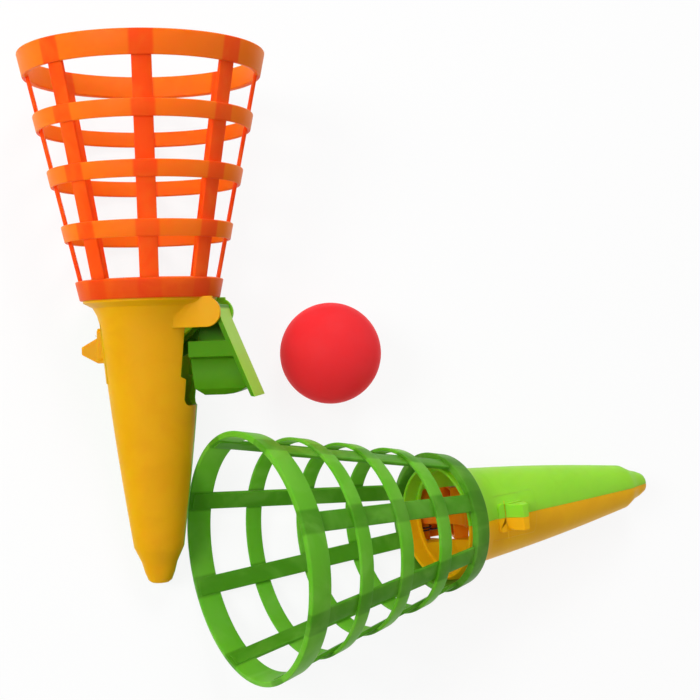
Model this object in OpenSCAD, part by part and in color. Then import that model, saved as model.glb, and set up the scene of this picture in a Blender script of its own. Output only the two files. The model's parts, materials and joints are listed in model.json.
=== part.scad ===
// Ball catch toy: two hand launchers with lattice baskets, and one light ball.
// Each launcher is built in its own frame: +Z along its axis towards the rim,
// z = 0 on the top of the handle, +X towards the trigger, the seam in the plane y = 0.
// The set is then laid on a table, z = 0, with its footprint centred on the origin.

/* [Basket] */
// Outer radius of the rim
rim_r = 45.5; // [42:0.5:50]
// Outer radius of the base ring
base_r = 25.8; // [25.4:0.1:27]
// Height of the basket
basket_h = 90.5; // [80:0.5:100]
// Height of the band at the rim
rim_band = 8.6; // [6:0.1:11]
// Height of each band between the rim and the base
ring_band = 6; // [4:0.1:8]
// Height of the base ring
base_band = 7; // [6:0.1:9]
// Bands between the rim and the base
ring_count = 3; // [2:1:4]
// Thickness of the outer layer, the bands
ring_wall = 1.3; // [1:0.1:1.8]
// Thickness of the inner layer, the ribs
rib_wall = 1.3; // [1:0.1:1.8]
// Upright ribs round the basket
rib_count = 8; // [6:1:10]
// Width of a rib at the rim
rib_top_w = 6.6; // [5:0.1:9]
// Width of a rib at the base ring
rib_base_w = 7.2; // [5:0.1:9]
// Height of the lip that snaps onto the collar
lip_h = 1.6; // [1.2:0.1:2]

/* [Handle] */
// Length of the handle below the basket
handle_l = 105.5; // [98:0.5:115]
// How far the flange's edge is set back from the basket's base ring
flange_set = 1.1; // [0.6:0.1:1.6]
// Thickness of the flange
flange_t = 1.1; // [0.9:0.1:1.4]
// Radius of the neck under the flange
neck_r = 18.9; // [18:0.1:19.6]
// Radius of the handle at its shoulder
shoulder_r = 9.3; // [8:0.1:11]
// Length of the round nose below the shoulder
nose_l = 13.3; // [10:0.1:16]
// Radius of the nose at its end
nose_r = 4.4; // [3.5:0.1:5.5]
// Wall of the handle shells
shell_wall = 1.8; // [1.4:0.1:2.2]
// Height of the collar
collar_h = 6; // [5:0.1:7]
// Wall of the collar
collar_wall = 1.6; // [1.2:0.1:2]
// Height of the bead that the basket's lip snaps under
bead_h = 0.6; // [0.4:0.1:0.8]

/* [Lug] */
// Distance from the axis to the end of the lug
lug_reach = 25.5; // [24:0.1:28]
// Length of the lug at its root
lug_root = 9.4; // [8:0.1:10]
// Length of the lug at its end
lug_end = 2.8; // [2:0.1:4]
// Width of the lug
lug_w = 10; // [8:0.5:11]
// Length of the flat pad round the lug
pad_l = 12.4; // [11.5:0.1:14]
// Width of the flat pad
pad_w = 11.2; // [11:0.1:13]
// Distance from the axis to the face of the pad
pad_reach = 19.4; // [19.2:0.1:20]

/* [Trigger] */
// Distance from the axis to the trigger pin
pivot_x = 23.3; // [22.8:0.1:24]
// Radius of the ears that hold the pin
ear_r = 5.5; // [5:0.1:5.7]
// Thickness of an ear
ear_t = 1.8; // [1.6:0.1:2.4]
// Width of the trigger
trigger_w = 20.8; // [19:0.1:22]
// Wall of the trigger
trigger_wall = 1.6; // [1.3:0.1:1.9]
// Length of the finger plate below the pin
plate_l = 31.3; // [28:0.1:33]
// Splay of the finger plate from the axis when the trigger is out, degrees
plate_splay = 21.8; // [20:0.1:23]
// Diameter of the trigger pin
pin_d = 2.4; // [2:0.1:3]
// Wire diameter of the return spring
wire_d = 0.6; // [0.5:0.05:0.7]
// Width of the kicker that throws the ball
kicker_w = 7.6; // [6:0.2:10]

/* [Ball] */
// Diameter of the ball
ball_d = 40; // [38:0.5:40]
// Wall of the ball
ball_wall = 0.9; // [0.6:0.1:1.5]

/* [Fits] */
// Gap of the snap fit between basket and collar
snap_gap = 0.25; // [0.15:0.05:0.4]
// Gap between the collar's bead and the base ring
bead_gap = 0.2; // [0.1:0.05:0.4]
// Gap between moving and fixed plastic faces
run_gap = 0.4; // [0.3:0.05:0.5]
// Radial clearance of the pin in the trigger
pin_gap = 0.08; // [0.05:0.01:0.1]

/* [Layout] */
// Turn of the orange launcher about its axis as it lies, degrees
orange_roll = -30; // [-40:1:20]
// Turn of the ribs in the orange basket, degrees
orange_rib_turn = 14.5; // [0:0.5:44]
// Turn of the green launcher about its axis as it lies, degrees
green_roll = -10; // [-15:1:0]
// Turn of the ribs in the green basket, degrees
green_rib_turn = 20.5; // [0:0.5:44]
// Distance of the green rim's centre in front of the orange launcher's flange
green_front = 99; // [96:0.5:106]
// Gap between the green rim and the orange handle beside it
beside_gap = 0.6; // [0.4:0.1:0.8]
// Heading of the green launcher, degrees round from +X
green_heading = 184.5; // [180:0.5:190]
// Distance of the ball to the right of the orange launcher
ball_right = 73; // [70:1:100]
// Distance of the ball in front of the orange launcher's flange
ball_front = 22; // [0:1:25]

/* [Hidden] */
$fn = 96;
eps = 0.05;
far = 200;
ORANGE = "orangered";
YELLOW = "goldenrod";
LIME = "yellowgreen";
LEAF = "forestgreen";

// Basket: radius of its cone, the pitch of its bands and the window between two bands
function cone_r(z) = base_r + (rim_r - base_r) * z / basket_h;
window_h = (basket_h - rim_band - base_band - ring_count * ring_band) / (ring_count + 1);
ring_z = [for (i = [0:ring_count - 1]) base_band + window_h + i * (ring_band + window_h)];
basket_wall = ring_wall + rib_wall - 0.1;
base_wall = basket_wall + 0.1;
collar_r = base_r - base_wall - bead_gap - bead_h;

// Handle: outer profile as [radius, z], a trumpet flare into a long cone and a nose
flange_r = base_r - flange_set;
neck_z = -9.1;
shoulder_z = nose_l - handle_l;
handle_bulge = 0.7;
handle_steps = 10;
function handle_r(z) =
    let (t = (z - shoulder_z) / (neck_z - shoulder_z))
    shoulder_r + (neck_r - shoulder_r) * t + handle_bulge * sin(180 * t);
function flare_r(share) = neck_r + (flange_r - neck_r) * share;
flare = [[flange_r, -flange_t], [flare_r(0.41), -2.9], [flare_r(0.17), -5.6], [flare_r(0.07), -7.6]];
handle_side = [for (i = [0:handle_steps])
               let (z = neck_z + (shoulder_z - neck_z) * i / handle_steps) [handle_r(z), z]];
nose_side = [[shoulder_r * 0.71, shoulder_z - nose_l * 0.43], [shoulder_r * 0.6, shoulder_z - nose_l * 0.71],
             [nose_r, -handle_l + 0.9], [nose_r - 1.1, -handle_l]];

// Trigger: pin centre, window in the shells and the finger plate's outer face, side view as [x, z]
pivot_z = -ear_r - 0.2;
pivot = [pivot_x, pivot_z];
half_w = trigger_w / 2;
window_w = half_w + run_gap;
slot_w = 8.6;
window_top = -flange_t - 0.3;
window_step = -29;
slot_end = -39.8;
slot_round = 2.4;
ear_in = window_w + 0.1;
ear_out = ear_in + ear_t;
plate_top = pivot + [4.1, 2.8];
plate_knee = pivot + [5.4, -2.8];
plate_end = [plate_knee[0] + (plate_l + plate_knee[1] - pivot_z) * tan(plate_splay), pivot_z - plate_l];
function plate_x(z) = plate_knee[0] + (plate_knee[1] - z) * tan(plate_splay);
kicker_tip = -3;

// The ball's seat in the flared mouth of the handle, and the kicker's hollow just below the ball
seat_top = flare[1] - [shell_wall, 0];
seat_low = flare[3] - [shell_wall, 0];
seat_angle = atan((seat_top[0] - seat_low[0]) / (seat_top[1] - seat_low[1]));
seat_z = seat_top[1] - (seat_top[0] - ball_d / 2 * cos(seat_angle)) / tan(seat_angle);
ball_seat_z = seat_z + ball_d / 2 * sin(seat_angle);
ball_gap = 1.3;
kicker_in = ball_d / 2 + ball_gap;

// Lying on the table: each launcher's tilt, and how far the green one's trigger is squeezed
orange_tilt = atan((rim_r - shoulder_r) / (basket_h - shoulder_z));
low_ear = [rim_r - pivot_x * cos(green_roll) - ear_out * sin(abs(green_roll)), basket_h - pivot_z];
green_tilt = atan(low_ear[0] / low_ear[1]) - asin(ear_r * cos(green_roll) / norm(low_ear));
plate_reach = norm(plate_end - pivot);
plate_angle = atan((plate_end[0] - pivot_x) / (pivot_z - plate_end[1]));
floor_gap = 0.2;
green_squeeze = plate_angle - asin((ear_r - floor_gap) / plate_reach) + green_tilt;
function rest_h(tilt) = rim_r * cos(tilt) - basket_h * sin(tilt);

// The green rim lies beside the orange handle: half its width at a height, and the handle's radius there
green_turn = green_heading - 180;
function rim_chord(h) = sqrt(pow(rim_r, 2) - pow(rim_r - h / cos(green_tilt), 2));
function beside_r(r, tries) =
    tries == 0 ? r : beside_r(handle_r((rim_chord(r) - green_front) / cos(orange_tilt)), tries - 1);
side_r = beside_r(shoulder_r, 4);
rim_lean = tan(green_turn) * rim_chord(side_r)
           + tan(green_tilt) * (rim_r * cos(green_tilt) - side_r) / cos(green_turn);
green_x = side_r + beside_gap + rim_lean - basket_h * cos(green_tilt) * cos(green_heading);
green_y = -green_front - basket_h * cos(green_tilt) * sin(green_heading);

// Footprint of the set, measured from the orange launcher's flange centre
left_edge = -rim_r;
back_edge = basket_h * cos(orange_tilt) + rim_r * sin(orange_tilt);
right_edge = green_x - handle_l * cos(green_tilt) * cos(green_heading) + 0.2;
rim_side = sqrt(pow(rim_r * cos(green_heading), 2) + pow(rim_r * sin(green_tilt) * sin(green_heading), 2));
front_edge = -green_front - rim_side;
centre = [(left_edge + right_edge) / 2, (front_edge + back_edge) / 2];

module cone_ring(z0, z1, wall_in, wall_out = 0) {
    rotate_extrude()
        polygon([[cone_r(z0) - wall_in, z0], [cone_r(z0) - wall_out, z0],
                 [cone_r(z1) - wall_out, z1], [cone_r(z1) - wall_in, z1]]);
}

module rib(turn) {
    rotate([90, 0, turn + 90])
        linear_extrude(height = far)
            polygon([[-rib_base_w / 2, 0], [rib_base_w / 2, 0],
                     [rib_top_w / 2, basket_h - 1], [-rib_top_w / 2, basket_h - 1]]);
}

module basket(turn) {
    for (z = ring_z) cone_ring(z, z + ring_band, ring_wall);
    cone_ring(basket_h - rim_band, basket_h, basket_wall - 0.3);
    cone_ring(0, base_band, base_wall);
    intersection() {
        cone_ring(base_band - 1, basket_h - 1, basket_wall, ring_wall - 0.1);
        for (i = [0:rib_count - 1]) rib(turn + i * 360 / rib_count);
    }
    rotate_extrude()
        polygon([[collar_r + snap_gap, 0], [cone_r(0) - 0.5, 0],
                 [cone_r(lip_h) - 0.5, lip_h], [collar_r + snap_gap, lip_h]]);
}

module handle_outer() {
    rotate_extrude()
        polygon(concat([[0, 0], [flange_r, 0]], flare, handle_side, nose_side, [[0, -handle_l]]));
}

module handle_inner() {
    rotate_extrude()
        polygon(concat([[0, 1], [seat_top[0] + 0.2, 1]],
                       [for (p = concat([flare[1], flare[3]], handle_side)) [p[0] - shell_wall, p[1]]],
                       [[0, shoulder_z - shell_wall]]));
}

module collar() {
    rotate_extrude()
        polygon([[collar_r - collar_wall, -flange_t], [collar_r, -flange_t], [collar_r, lip_h + snap_gap],
                 [collar_r + bead_h, lip_h + snap_gap + 0.5], [collar_r + bead_h, lip_h + snap_gap + 1],
                 [collar_r, collar_h - 1.6], [collar_r - 0.4, collar_h], [collar_r - collar_wall, collar_h]]);
}

module side_cut(points, half) {
    rotate([90, 0, 0])
        linear_extrude(height = 2 * half, center = true)
            polygon(points);
}

module trigger_window() {
    rotate([90, 0, 90])
        linear_extrude(height = far)
            for (side = [0, 1])
                mirror([side, 0])
                    polygon([[0, window_top], [window_w, window_top], [window_w, window_step],
                             [slot_w, window_step - 1], [slot_w, slot_end + slot_round],
                             [slot_w - slot_round / 3, slot_end + slot_round / 3],
                             [slot_w - slot_round, slot_end], [0, slot_end]]);
}

// An ear grows out of the neck, with a sloping cheek in front of its root
ear_root = pivot_x - 8.7;
ear_foot = [pivot_x - 3.3, pivot_x + 2.6];
cheek_from = 52;
cheek_end = pivot_x - 3.7;

module ear(side) {
    difference() {
        union() {
            translate([0, side * (ear_in + ear_t / 2), 0])
                rotate([90, 0, 0])
                    linear_extrude(height = ear_t, center = true) {
                        translate(pivot) circle(r = ear_r);
                        translate([ear_root, pivot_z - ear_r]) square([pivot_x - ear_root, 2 * ear_r]);
                        translate([ear_foot[0], -flange_t]) square([ear_foot[1] - ear_foot[0], flange_t]);
                    }
            translate([0, 0, pivot_z - ear_r])
                linear_extrude(height = ear_r - pivot_z - flange_t / 2)
                    polygon([[cheek_end, side * ear_in], [cheek_end, side * ear_out],
                             neck_r * [cos(cheek_from), side * sin(cheek_from)],
                             [neck_r * cos(cheek_from), side * ear_in]]);
        }
        handle_inner();
    }
}

module pin_hole() {
    translate([pivot_x, 0, pivot_z])
        rotate([90, 0, 0])
            cylinder(d = pin_d, h = 2 * (ear_out - 0.7), center = true, $fn = 48);
}

// Lug on the back: square on the half with the pegs, rounded on the other, on a pad and a raised band
lug_z = pivot_z - 12.9;
lug_round = 3;
pad_top = lug_z + 8.2;
band_side = 8.4;
band_raise = 0.4;
band_ends = [-3.5, -31];

module lug_plan() {
    flat_w = lug_w / 2 - lug_round;
    translate([-lug_w / 2, -lug_root / 2]) square([lug_w / 2 + flat_w, lug_root]);
    for (end = [-1, 1])
        translate([flat_w, end * (lug_root / 2 - lug_round)]) circle(r = lug_round, $fn = 48);
    translate([flat_w, lug_round - lug_root / 2]) square([lug_round, lug_root - 2 * lug_round]);
}

module lug_post() {
    translate([0, 0, lug_z])
        intersection() {
            side_cut([[2.5 - pad_reach, lug_root / 2], [-pad_reach, lug_root / 2], [-lug_reach, lug_end / 2],
                      [-lug_reach, -lug_end / 2], [-pad_reach, -lug_root / 2],
                      [2.5 - pad_reach, -lug_root / 2]], lug_w);
            rotate([90, 0, 90]) linear_extrude(height = far, center = true) lug_plan();
        }
}

module pad() {
    translate([-pad_reach, 0, pad_top - pad_l / 2])
        rotate([0, 90, 0])
            intersection() {
                linear_extrude(height = 4) square([pad_l, pad_w], center = true);
                cylinder(r = norm([pad_l, pad_w]) / 2 - 0.8, h = 4);
            }
}

module back_band() {
    intersection() {
        rotate_extrude()
            polygon([for (p = [[-1, band_ends[0]], [band_raise, band_ends[0] - 1],
                               [band_raise, band_ends[1]], [-1, band_ends[1]]])
                     [handle_r(min(p[1], neck_z)) + p[0], p[1]]]);
        translate([-far, -band_side, -far]) cube([far, 2 * band_side, 2 * far]);
    }
}

kicker_out = kicker_in + trigger_wall;
shelf_top = ball_seat_z - sqrt(kicker_out * kicker_out - kicker_tip * kicker_tip) - run_gap;
shelf_end = kicker_tip + 1.5;
cup_wall = 1.4;
cup_back = kicker_tip - 5;
cup_arc = [20, 76];
cup_steps = 8;
shelf_w = 10;
shelf_t = 1.6;
posts = [[-9.5, -36, 2.6], [0, -78, 2.8]];
peg_r = 1.25;
peg_gap = 0.1;

module along_y(x, z) {
    translate([x, 0, z]) rotate([90, 0, 0]) children();
}

// Cup under the ball, open where the trigger swings
module cup() {
    arc = [for (i = [0:cup_steps]) cup_arc[0] + (cup_arc[1] - cup_arc[0]) * i / cup_steps];
    difference() {
        translate([0, 0, ball_seat_z])
            rotate_extrude()
                polygon(concat([for (a = arc) kicker_in * [cos(a), -sin(a)]],
                               [for (i = [cup_steps:-1:0])
                                (kicker_in + cup_wall) * [cos(arc[i]), -sin(arc[i])]]));
        translate([cup_back, -window_w, -far]) cube([far, 2 * window_w, far]);
    }
}

module inner_works() {
    intersection() {
        handle_outer();
        union() {
            cup();
            translate([shelf_end - far, -shelf_w / 2, shelf_top - shelf_t]) cube([far, shelf_w, shelf_t]);
            for (p = posts)
                along_y(p[0], p[1]) cylinder(r = p[2], h = far, center = true, $fn = 32);
        }
    }
}

module half_space(side) {
    translate([-far, side > 0 ? 0 : -far, -far]) cube([2 * far, far, 2 * far]);
}

module shell(side, pegs) {
    difference() {
        intersection() {
            union() {
                difference() {
                    union() {
                        handle_outer();
                        lug_post();
                        pad();
                        back_band();
                    }
                    handle_inner();
                    trigger_window();
                }
                collar();
                inner_works();
                ear(side);
            }
            half_space(side);
        }
        pin_hole();
        if (!pegs)
            for (p = posts)
                along_y(p[0], p[1]) cylinder(r = peg_r + peg_gap, h = 7, center = true, $fn = 32);
    }
    if (pegs)
        for (p = posts)
            translate([p[0], side, p[1]])
                rotate([side * 90, 0, 0])
                    cylinder(r = peg_r, h = 4, $fn = 32);
}

module plate() {
    side_cut([plate_top, plate_knee, plate_end, plate_end + [-trigger_wall, 0.25],
              plate_knee + [-trigger_wall - 0.1, -0.4], plate_top + [-trigger_wall - 0.1, 0.2]], half_w);
}

band_top = -16.3;
band_low = -22;
trough_in = 16;
trough_w = 6.6;
trough_swell = 1.6;
trough_low = -36.1;
keel_end = 28;
keel_r = 15.7;
trough_steps = 6;
trough_wall = 1.4;

// The trough behind the finger plate, as one half from the front and as a whole from the side
function trough_front(wall) =
    concat([[0, band_top + wall], [half_w - wall, band_top + wall], [half_w - wall, band_low + wall],
            [trough_w - wall, band_low - 0.5 + wall]],
           [for (i = [1:trough_steps - 1])
            let (a = 150 * i / trough_steps, depth = trough_low - band_low)
            [trough_w - wall + trough_swell * sin(a), band_low + depth * i / trough_steps]],
           [[trough_w - 1.5 - wall, trough_low + wall], [0, trough_low + wall]]);
function trough_side(wall) =
    concat([[trough_in + wall, band_top + wall], [plate_x(band_top) - 0.4, band_top + wall]],
           [for (a = [36:-12:0])
            [keel_end + keel_r * sin(a), trough_low + keel_r * (1 - cos(a)) + wall]],
           [[20.5, trough_low + wall], [17.5 + wall, trough_low + 2.5 + wall / 2],
            [trough_in + wall, band_low - 0.5]]);

module trough_form(wall) {
    intersection() {
        rotate([90, 0, 90])
            linear_extrude(height = far)
                for (side = [0, 1]) mirror([side, 0]) polygon(trough_front(wall));
        side_cut(trough_side(wall), half_w + 1);
    }
}

module trough() {
    difference() {
        trough_form(0);
        trough_form(trough_wall);
    }
}

// The kicker's band follows the ball, with a round tip and a web below it; a second web stiffens the plate
kicker_drop = 6.8;
web_ends = [4.5, 18];
web_top = -9;
plate_web_in = 18.4;
plate_web_top = pivot_z - 4.5;

module kicker() {
    translate([0, 0, ball_seat_z])
        intersection() {
            rotate([90, 0, 0])
                difference() {
                    cylinder(r = kicker_out, h = kicker_w + 1, center = true);
                    cylinder(r = kicker_in, h = kicker_w + 2, center = true);
                }
            translate([kicker_tip + kicker_w / 2, 0, -2 * kicker_in])
                linear_extrude(height = 2 * kicker_in - kicker_drop) {
                    circle(d = kicker_w);
                    translate([0, -kicker_w / 2])
                        square([pivot_x - 1.2 - kicker_tip - kicker_w / 2, kicker_w]);
                }
        }
    intersection() {
        rotate([90, 0, 0])
            linear_extrude(height = trigger_wall, center = true)
                difference() {
                    translate([2.5, ball_seat_z - 1]) circle(r = kicker_out + 1.9);
                    translate([0, ball_seat_z]) circle(r = kicker_in + 0.8);
                }
        translate([web_ends[0], -trigger_wall, -far])
            cube([web_ends[1] - web_ends[0], 2 * trigger_wall, far + web_top]);
    }
    side_cut([[plate_web_in, plate_web_top], [pivot_x, pivot_z], plate_knee - [trigger_wall / 2, 0],
              [plate_x(band_top) - trigger_wall / 2, band_top + trough_wall / 2],
              [plate_web_in, band_top + trough_wall / 2]], trigger_wall / 2);
}

coil_r = 2.45;
coil_from = kicker_w / 2 + 0.5;

hub_r = 3.1;
hub_w = kicker_w / 2 + half_w;

module hub() {
    translate([pivot_x, 0, pivot_z])
        rotate([90, 0, 0]) {
            translate([0, 0, half_w - hub_w]) cylinder(r = hub_r, h = hub_w, $fn = 48);
            cylinder(r = coil_r - wire_d / 2 - 0.3, h = trigger_w, center = true, $fn = 48);
        }
}

module trigger() {
    difference() {
        union() {
            plate();
            kicker();
            hub();
            trough();
        }
        translate([pivot_x, 0, pivot_z])
            rotate([90, 0, 0])
                cylinder(r = pin_d / 2 + pin_gap, h = far, center = true, $fn = 48);
    }
}

module pin() {
    translate([pivot_x, 0, pivot_z])
        rotate([90, 0, 0])
            cylinder(d = pin_d - 0.02, h = 2 * (ear_out - 0.9), center = true, $fn = 48);
}

// Return spring: one wire from a leg under the flange, round the hub and down the finger plate
coil_turns = 2.25;
coil_pitch = wire_d + 0.5;
coil_y = coil_from + wire_d / 2;
turn_steps = 12;
sides = 6;
function about_pin(angle, x, z, y) =
    [pivot_x + x * cos(angle) + z * sin(angle), y, pivot_z + z * cos(angle) - x * sin(angle)];
function spring_route(wound) =
    let (turn = 360 * coil_turns + wound,
         steps = ceil(turn / 360 * turn_steps),
         end_y = coil_y + coil_pitch * turn / 360,
         leg_z = -6.6,
         leg_x = plate_knee[0] - pivot_x - trigger_wall - wire_d / 2 - 0.3
                 + (plate_knee[1] - pivot_z - leg_z) * tan(plate_splay))
    concat([[pivot_x - 3.4, coil_y, window_top - wire_d / 2 - 0.1]],
           [for (i = [0:steps])
            let (a = 90 - turn * i / steps)
            [pivot_x + coil_r * cos(a), coil_y + (end_y - coil_y) * i / steps, pivot_z + coil_r * sin(a)]],
           [about_pin(wound, coil_r + 0.1, -2.2, end_y), about_pin(wound, leg_x, leg_z, end_y)]);

function unit(v) = v / norm(v);
function tangent(p, i) = unit(p[min(i + 1, len(p) - 1)] - p[max(i - 1, 0)]);
function ring(p, i, r) =
    let (t = tangent(p, i), n = unit(cross([0, 1, 0], t)), b = cross(t, n))
    [for (k = [0:sides - 1]) p[i] + r * (cos(360 * k / sides) * n + sin(360 * k / sides) * b)];

module tube(p, r) {
    points = [for (i = [0:len(p) - 1]) for (q = ring(p, i, r)) q];
    last = (len(p) - 1) * sides;
    walls = [for (i = [0:len(p) - 2], k = [0:sides - 1])
             let (a = i * sides + k, b = i * sides + (k + 1) % sides)
             each [[a, b, b + sides], [a, b + sides, a + sides]]];
    caps = [for (k = [1:sides - 2]) each [[0, k + 1, k], [last, last + k, last + k + 1]]];
    polyhedron(points, concat(walls, caps));
}

module spring(wound) {
    tube(spring_route(wound), wire_d / 2);
}

// Least gap of the wire to itself, from each point of the route to those at least half a turn on
function least_gap(p) =
    let (last = len(p) - 1)
    min([for (i = [0:last], j = [0:last]) if (j >= i + turn_steps / 2) norm(p[i] - p[j])]) - wire_d;

module squeeze(angle) {
    translate([pivot_x, 0, pivot_z]) rotate([0, angle, 0]) translate([-pivot_x, 0, -pivot_z]) children();
}

module lay_orange() {
    translate([-centre[0], -centre[1], rest_h(orange_tilt)])
        rotate([orange_tilt - 90, 0, 0])
            rotate([0, 0, orange_roll])
                children();
}

module lay_green() {
    translate([green_x - centre[0], green_y - centre[1], rest_h(green_tilt)])
        rotate([0, 0, green_heading])
            rotate([0, 90 - green_tilt, 0])
                rotate([0, 0, green_roll])
                    children();
}

module orange_basket() { color(ORANGE) lay_orange() basket(orange_rib_turn); }
module orange_yellow_shell() { color(YELLOW) lay_orange() shell(-1, true); }
module orange_green_shell() { color(LIME) lay_orange() shell(1, false); }
module orange_trigger() { color(LIME) lay_orange() trigger(); }
module orange_pin() { color("silver") lay_orange() pin(); }
module orange_spring() { color("silver") lay_orange() spring(0); }
module green_basket() { color(LEAF) lay_green() basket(green_rib_turn); }
module green_green_shell() { color(LIME) lay_green() shell(-1, true); }
module green_yellow_shell() { color(YELLOW) lay_green() shell(1, false); }
module green_trigger() { color(ORANGE) lay_green() squeeze(green_squeeze) trigger(); }
module green_pin() { color("silver") lay_green() pin(); }
module green_spring() { color("silver") lay_green() spring(green_squeeze); }

module ball() {
    color("crimson")
        translate([ball_right - centre[0], -ball_front - centre[1], ball_d / 2])
            difference() {
                sphere(d = ball_d);
                sphere(d = ball_d - 2 * ball_wall);
            }
}

echo(centre = centre, orange_tilt = orange_tilt, green_tilt = green_tilt, green_squeeze = green_squeeze);
echo(ball_seat_z = ball_seat_z, green_place = [green_x, green_y], handle_beside = side_r);
echo(least_gap_orange_spring = least_gap(spring_route(0)));
echo(least_gap_green_spring = least_gap(spring_route(green_squeeze)));

orange_basket();
orange_yellow_shell();
orange_green_shell();
orange_trigger();
orange_pin();
orange_spring();
green_basket();
green_green_shell();
green_yellow_shell();
green_trigger();
green_pin();
green_spring();
ball();
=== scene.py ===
# %% [markdown]
# This lesson dresses a ball catch toy: two hand launchers with lattice baskets, and a light ball.
# The solid model of every piece is loaded first and is never moved. It gives each launcher's place,
# its trigger hinge and the size of the whole set, so nothing below has to be fitted by eye.

# %% Load the solid model
import json
import math

import bmesh
import bpy
from mathutils import Matrix, Vector


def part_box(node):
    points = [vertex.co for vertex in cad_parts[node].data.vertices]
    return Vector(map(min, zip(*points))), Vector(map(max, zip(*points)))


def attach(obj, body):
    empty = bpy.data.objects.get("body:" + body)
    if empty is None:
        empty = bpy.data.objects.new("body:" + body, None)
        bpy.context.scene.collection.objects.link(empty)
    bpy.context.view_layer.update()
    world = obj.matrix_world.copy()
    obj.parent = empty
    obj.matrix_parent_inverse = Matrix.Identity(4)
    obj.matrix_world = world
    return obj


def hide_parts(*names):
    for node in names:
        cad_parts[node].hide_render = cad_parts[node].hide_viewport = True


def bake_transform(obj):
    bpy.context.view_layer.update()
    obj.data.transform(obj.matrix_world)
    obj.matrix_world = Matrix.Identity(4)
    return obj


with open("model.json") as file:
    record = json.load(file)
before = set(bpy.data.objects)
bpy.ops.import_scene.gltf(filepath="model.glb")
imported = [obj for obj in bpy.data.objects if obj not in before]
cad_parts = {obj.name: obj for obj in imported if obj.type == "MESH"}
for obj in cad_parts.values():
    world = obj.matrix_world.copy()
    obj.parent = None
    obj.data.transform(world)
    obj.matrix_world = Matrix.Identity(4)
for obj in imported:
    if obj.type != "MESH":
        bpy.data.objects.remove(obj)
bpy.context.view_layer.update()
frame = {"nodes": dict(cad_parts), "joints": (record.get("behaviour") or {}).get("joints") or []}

MM = 0.001
print("pieces:", ", ".join(sorted(frame["nodes"])))

# %% [markdown]
# The photograph looks down on the set from high up, a little from the left and the front. A camera
# of this focal length at this place puts both rims, both handles and the ball where they are in it.
# The camera comes first, so that every later look at the toy is a look from the same place.

# %% Camera and plain settings
CAMERA_PLACE = Vector((-215.998, -84.327, 498.46)) * MM
CAMERA_TILT = math.radians(12.1468)
CAMERA_SWING = math.radians(-22.8197)
CAMERA_ROLL = math.radians(-6.9211)
FOCAL_PIXELS = 1331.69
IMAGE_PIXELS = 700
SENSOR_MM = 36.0
CLIP_START = 0.02
CLIP_END = 20

scene = bpy.context.scene
scene.view_settings.view_transform = "Standard"
camera_data = bpy.data.cameras.new("camera")
camera_data.sensor_width = SENSOR_MM
camera_data.lens = FOCAL_PIXELS / IMAGE_PIXELS * SENSOR_MM
camera_data.clip_start = CLIP_START
camera_data.clip_end = CLIP_END
camera = bpy.data.objects.new("camera", camera_data)
camera_turn = Matrix.Rotation(CAMERA_ROLL, 4, "Z")
camera_turn = camera_turn @ Matrix.Rotation(CAMERA_SWING, 4, "Y") @ Matrix.Rotation(CAMERA_TILT, 4, "X")
camera.matrix_world = Matrix.Translation(CAMERA_PLACE) @ camera_turn
scene.collection.objects.link(camera)
scene.camera = camera
print("lens", round(camera_data.lens, 1), "mm")

# %% [markdown]
# Each launcher is easiest to think of standing up in its own frame: Z from the handle to the rim,
# X towards the trigger, zero on top of the handle. Its axis leans up from the table by a few degrees
# and heads one way on it, which gives Z. The trigger's hinge in the solid model gives Y, and the
# hinge's known distance from the axis gives the zero.

# %% Find each launcher's own frame
HINGE_X = 23.3 * MM
HINGE_Z = -5.7 * MM
LEANS = {"orange": 11.2074, "green": 8.78566}
HEADINGS = {"orange": 90.0, "green": 184.5}


def launcher_place(colour):
    """The matrix from a launcher's own frame to its place on the table."""
    lean = math.radians(LEANS[colour])
    heading = math.radians(HEADINGS[colour])
    joint = next(j for j in frame["joints"] if j["name"] == f"{colour}_trigger_hinge")
    z = Vector((math.cos(lean) * math.cos(heading), math.cos(lean) * math.sin(heading), math.sin(lean)))
    x = Vector(joint["axis"]).cross(z).normalized()
    y = z.cross(x)
    turned = Matrix((x, y, z)).transposed()
    zero = Vector(joint["pos_m"]) - turned @ Vector((HINGE_X, 0, HINGE_Z))
    return Matrix.Translation(zero) @ turned.to_4x4()


PLACES = {colour: launcher_place(colour) for colour in ("orange", "green")}
for colour, place in PLACES.items():
    print(colour, "launcher's zero in mm:", [round(v / MM, 1) for v in place.translation])

# %% [markdown]
# Node trees are built in script, for shapes and for finishes alike. A few small helpers keep that
# readable: one adds a node and fills its inputs with values or links, one starts a node group with
# named inputs, and the others add the nodes that come up most. Inputs are given by name, or by number
# where a node has two of the same name.

# %% Helpers for node trees


def add(tree, kind, settings=None, inputs=None):
    """Adds a node, sets its options, and fills its inputs with values or links. Returns the node."""
    made = tree.nodes.new(kind)
    for option, value in (settings or {}).items():
        setattr(made, option, value)
    for key, value in (inputs or {}).items():
        if isinstance(value, bpy.types.NodeSocket):
            tree.links.new(value, made.inputs[key])
        else:
            made.inputs[key].default_value = value
    return made


def calculate(tree, operation, *values):
    """Adds a Math node on one to three values and returns its output."""
    made = add(tree, "ShaderNodeMath", {"operation": operation}, dict(enumerate(values)))
    return made.outputs[0]


def smooth_step(tree, value, low, high):
    """0 below low, 1 above high, and a smooth step between them."""
    made = add(tree, "ShaderNodeMapRange", {"interpolation_type": "SMOOTHSTEP"},
               {"Value": value, 1: low, 2: high})
    return made.outputs["Result"]


def mix_colours(tree, amount, first, second):
    """Mixes two colours by amount."""
    made = add(tree, "ShaderNodeMix", {"data_type": "RGBA"}, {"Factor": amount, 6: first, 7: second})
    return made.outputs[2]


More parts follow.
